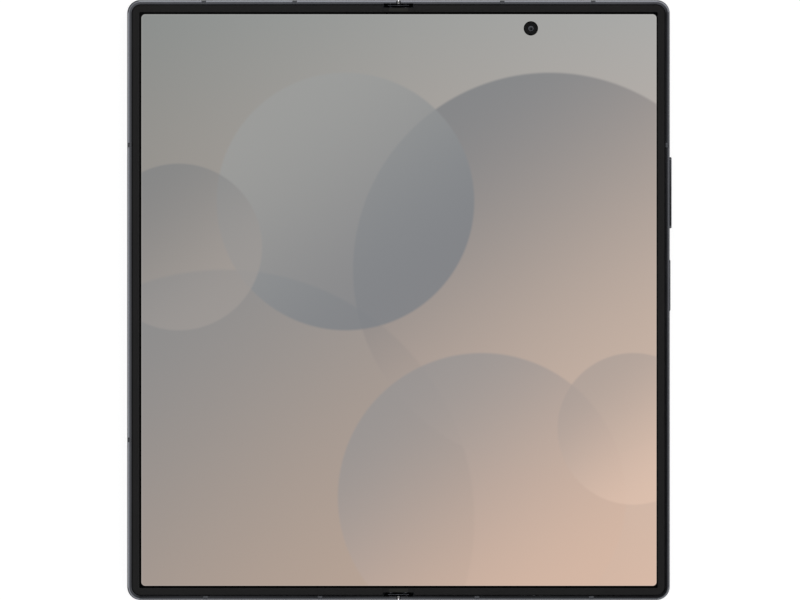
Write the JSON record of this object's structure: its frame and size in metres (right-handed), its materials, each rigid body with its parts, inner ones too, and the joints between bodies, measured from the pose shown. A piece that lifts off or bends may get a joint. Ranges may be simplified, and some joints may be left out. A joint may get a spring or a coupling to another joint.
{
  "type": "foldable smartphone",
  "caption": "Book-style folding smartphone, open flat: two slim halves joined by a geared hinge, with one large screen that bends across the fold.",
  "frame": {"origin": "under the middle of the hinge, on the surface that the camera rings stand on, phone open and flat on its back", "axes": "+X to the right of the open screen, +Y up the screen along the hinge, +Z out of the screen"},
  "size_m": [0.1437, 0.1584, 0.0064],
  "materials": {
    "frame_metal": "dark graphite anodised aluminium, satin, with a bright bevelled edge",
    "ring_metal": "turned ring, anodised, fine circular brushing",
    "break_plastic": "moulded filler, matt, a little darker than the frame",
    "bezel_plastic": "fine matt moulded bezel",
    "screen_glass": null,
    "back_glass": "frosted dark glass, satin",
    "cover_glass": "clear hard glass over a dark panel, polished",
    "cover_panel": "unlit display panel",
    "lens_glass": "clear flat window",
    "flash_plastic": "ribbed clear window over a pale emitter",
    "camera_black": "blackened lens barrel",
    "hinge_steel": "sintered steel, fine tooling marks",
    "spring_steel": "hardened steel",
    "support_steel": "thin rolled sheet",
    "plate_metal": "pressed sheet, matt",
    "battery_foil": "laminated foil pouch, dull",
    "board": "solder-masked circuit board",
    "shield_metal": "thin drawn steel",
    "coil_copper": "flat wound copper",
    "speaker_plastic": "moulded box",
    "flex_film": "amber film with copper tracks"
  },
  "bodies": {
    "left_half": {"left_frame": "frame_metal", "left_antenna_breaks": "break_plastic", "left_plate": "plate_metal", "left_bezel": "bezel_plastic", "screen_left": "screen_glass", "swing_arms_left": "hinge_steel", "left_arm_screws": "spring_steel", "cover_glass": "cover_glass", "cover_screen": "cover_panel", "cover_camera": "camera_black", "left_battery": "battery_foil", "left_board": "board", "top_speaker": "speaker_plastic", "sim_reader": "shield_metal"},
    "spine": {"hinge_cover": "frame_metal", "hinge_bracket_top": "hinge_steel", "hinge_bracket_middle": "hinge_steel", "hinge_bracket_bottom": "hinge_steel", "bearing_plates": "hinge_steel", "hinge_screws": "spring_steel", "centre_plate": "support_steel", "friction_springs": "spring_steel", "screen_fold": "screen_glass", "fold_trim_top": "bezel_plastic", "fold_trim_bottom": "bezel_plastic", "hinge_flex": "flex_film"},
    "right_half": {"right_frame": "frame_metal", "right_antenna_breaks": "break_plastic", "right_plate": "plate_metal", "right_bezel": "bezel_plastic", "screen_right": "screen_glass", "swing_arms_right": "hinge_steel", "right_arm_screws": "spring_steel", "rear_glass": "back_glass", "camera_island": "frame_metal", "lens_rings": "ring_metal", "lens_windows": "lens_glass", "wide_camera": "camera_black", "main_camera": "camera_black", "tele_camera": "camera_black", "flash_window": "flash_plastic", "inner_camera": "camera_black", "main_board": "board", "board_shields": "shield_metal", "right_battery": "battery_foil", "charging_coil": "coil_copper", "usb_socket": "shield_metal", "usb_tongue": "speaker_plastic", "bottom_speaker": "speaker_plastic", "haptic_motor": "shield_metal", "key_switches": "board"},
    "left_wing": {"wing_plate_left": "support_steel"},
    "right_wing": {"wing_plate_right": "support_steel"},
    "left_timing": {"sync_arm_left": "hinge_steel"},
    "right_timing": {"sync_arm_right": "hinge_steel"},
    "left_idler": {"idler_gear_left": "hinge_steel"},
    "right_idler": {"idler_gear_right": "hinge_steel"},
    "sim_tray": {"sim_tray": "frame_metal"},
    "volume_key": {"volume_key": "frame_metal"},
    "power_key": {"power_key": "frame_metal"}
  },
  "joints": [
    {"name": "fold_left", "type": "hinge", "parent": "spine", "child": "left_half", "pos_m": [-0.00135, 0, 0.0053], "axis": [0, 1, 0], "range_deg": [0, 90], "deforming": ["screen_fold", "fold_trim_top", "fold_trim_bottom", "hinge_flex"]},
    {"name": "fold_right", "type": "hinge", "parent": "spine", "child": "right_half", "pos_m": [0.00135, 0, 0.0053], "axis": [0, -1, 0], "range_deg": [0, 90], "deforming": ["screen_fold", "fold_trim_top", "fold_trim_bottom", "hinge_flex"]},
    {"name": "left_wing_tilt", "type": "hinge", "parent": "left_half", "child": "left_wing", "pos_m": [-0.0105, 0, 0.00505], "axis": [0, 1, 0], "range_deg": [0, 4.5]},
    {"name": "right_wing_tilt", "type": "hinge", "parent": "right_half", "child": "right_wing", "pos_m": [0.0105, 0, 0.00505], "axis": [0, -1, 0], "range_deg": [0, 4.5]},
    {"name": "left_timing_turn", "type": "hinge", "parent": "spine", "child": "left_timing", "pos_m": [-0.00204, 0, 0.00422], "axis": [0, 1, 0], "range_deg": [0, 90]},
    {"name": "left_idler_turn", "type": "hinge", "parent": "spine", "child": "left_idler", "pos_m": [-0.00068, 0, 0.00422], "axis": [0, -1, 0], "range_deg": [0, 90]},
    {"name": "right_idler_turn", "type": "hinge", "parent": "spine", "child": "right_idler", "pos_m": [0.00068, 0, 0.00422], "axis": [0, 1, 0], "range_deg": [0, 90]},
    {"name": "right_timing_turn", "type": "hinge", "parent": "spine", "child": "right_timing", "pos_m": [0.00204, 0, 0.00422], "axis": [0, -1, 0], "range_deg": [0, 90]},
    {"name": "volume_rock", "type": "hinge", "parent": "right_half", "child": "volume_key", "pos_m": [0.07045, 0.02835, 0.00405], "axis": [0, 0, 1], "range_deg": [-1, 1], "stiffness_Nm_per_rad": 0.2},
    {"name": "power_press", "type": "slide", "parent": "right_half", "child": "power_key", "axis": [-1, 0, 0], "range_m": [0, 0.0002], "stiffness_N_per_m": 2000},
    {"name": "sim_tray_slide", "type": "slide", "parent": "left_half", "child": "sim_tray", "axis": [0, -1, 0], "range_m": [0, 0.016]}
  ],
  "couplings": [
    {"joint": "fold_right", "follows": "fold_left", "ratio": 1},
    {"joint": "left_wing_tilt", "follows": "fold_left", "ratio": 0.05},
    {"joint": "right_wing_tilt", "follows": "fold_left", "ratio": 0.05},
    {"joint": "left_timing_turn", "follows": "fold_left", "ratio": 1},
    {"joint": "left_idler_turn", "follows": "fold_left", "ratio": 1},
    {"joint": "right_idler_turn", "follows": "fold_left", "ratio": 1},
    {"joint": "right_timing_turn", "follows": "fold_left", "ratio": 1}
  ]
}
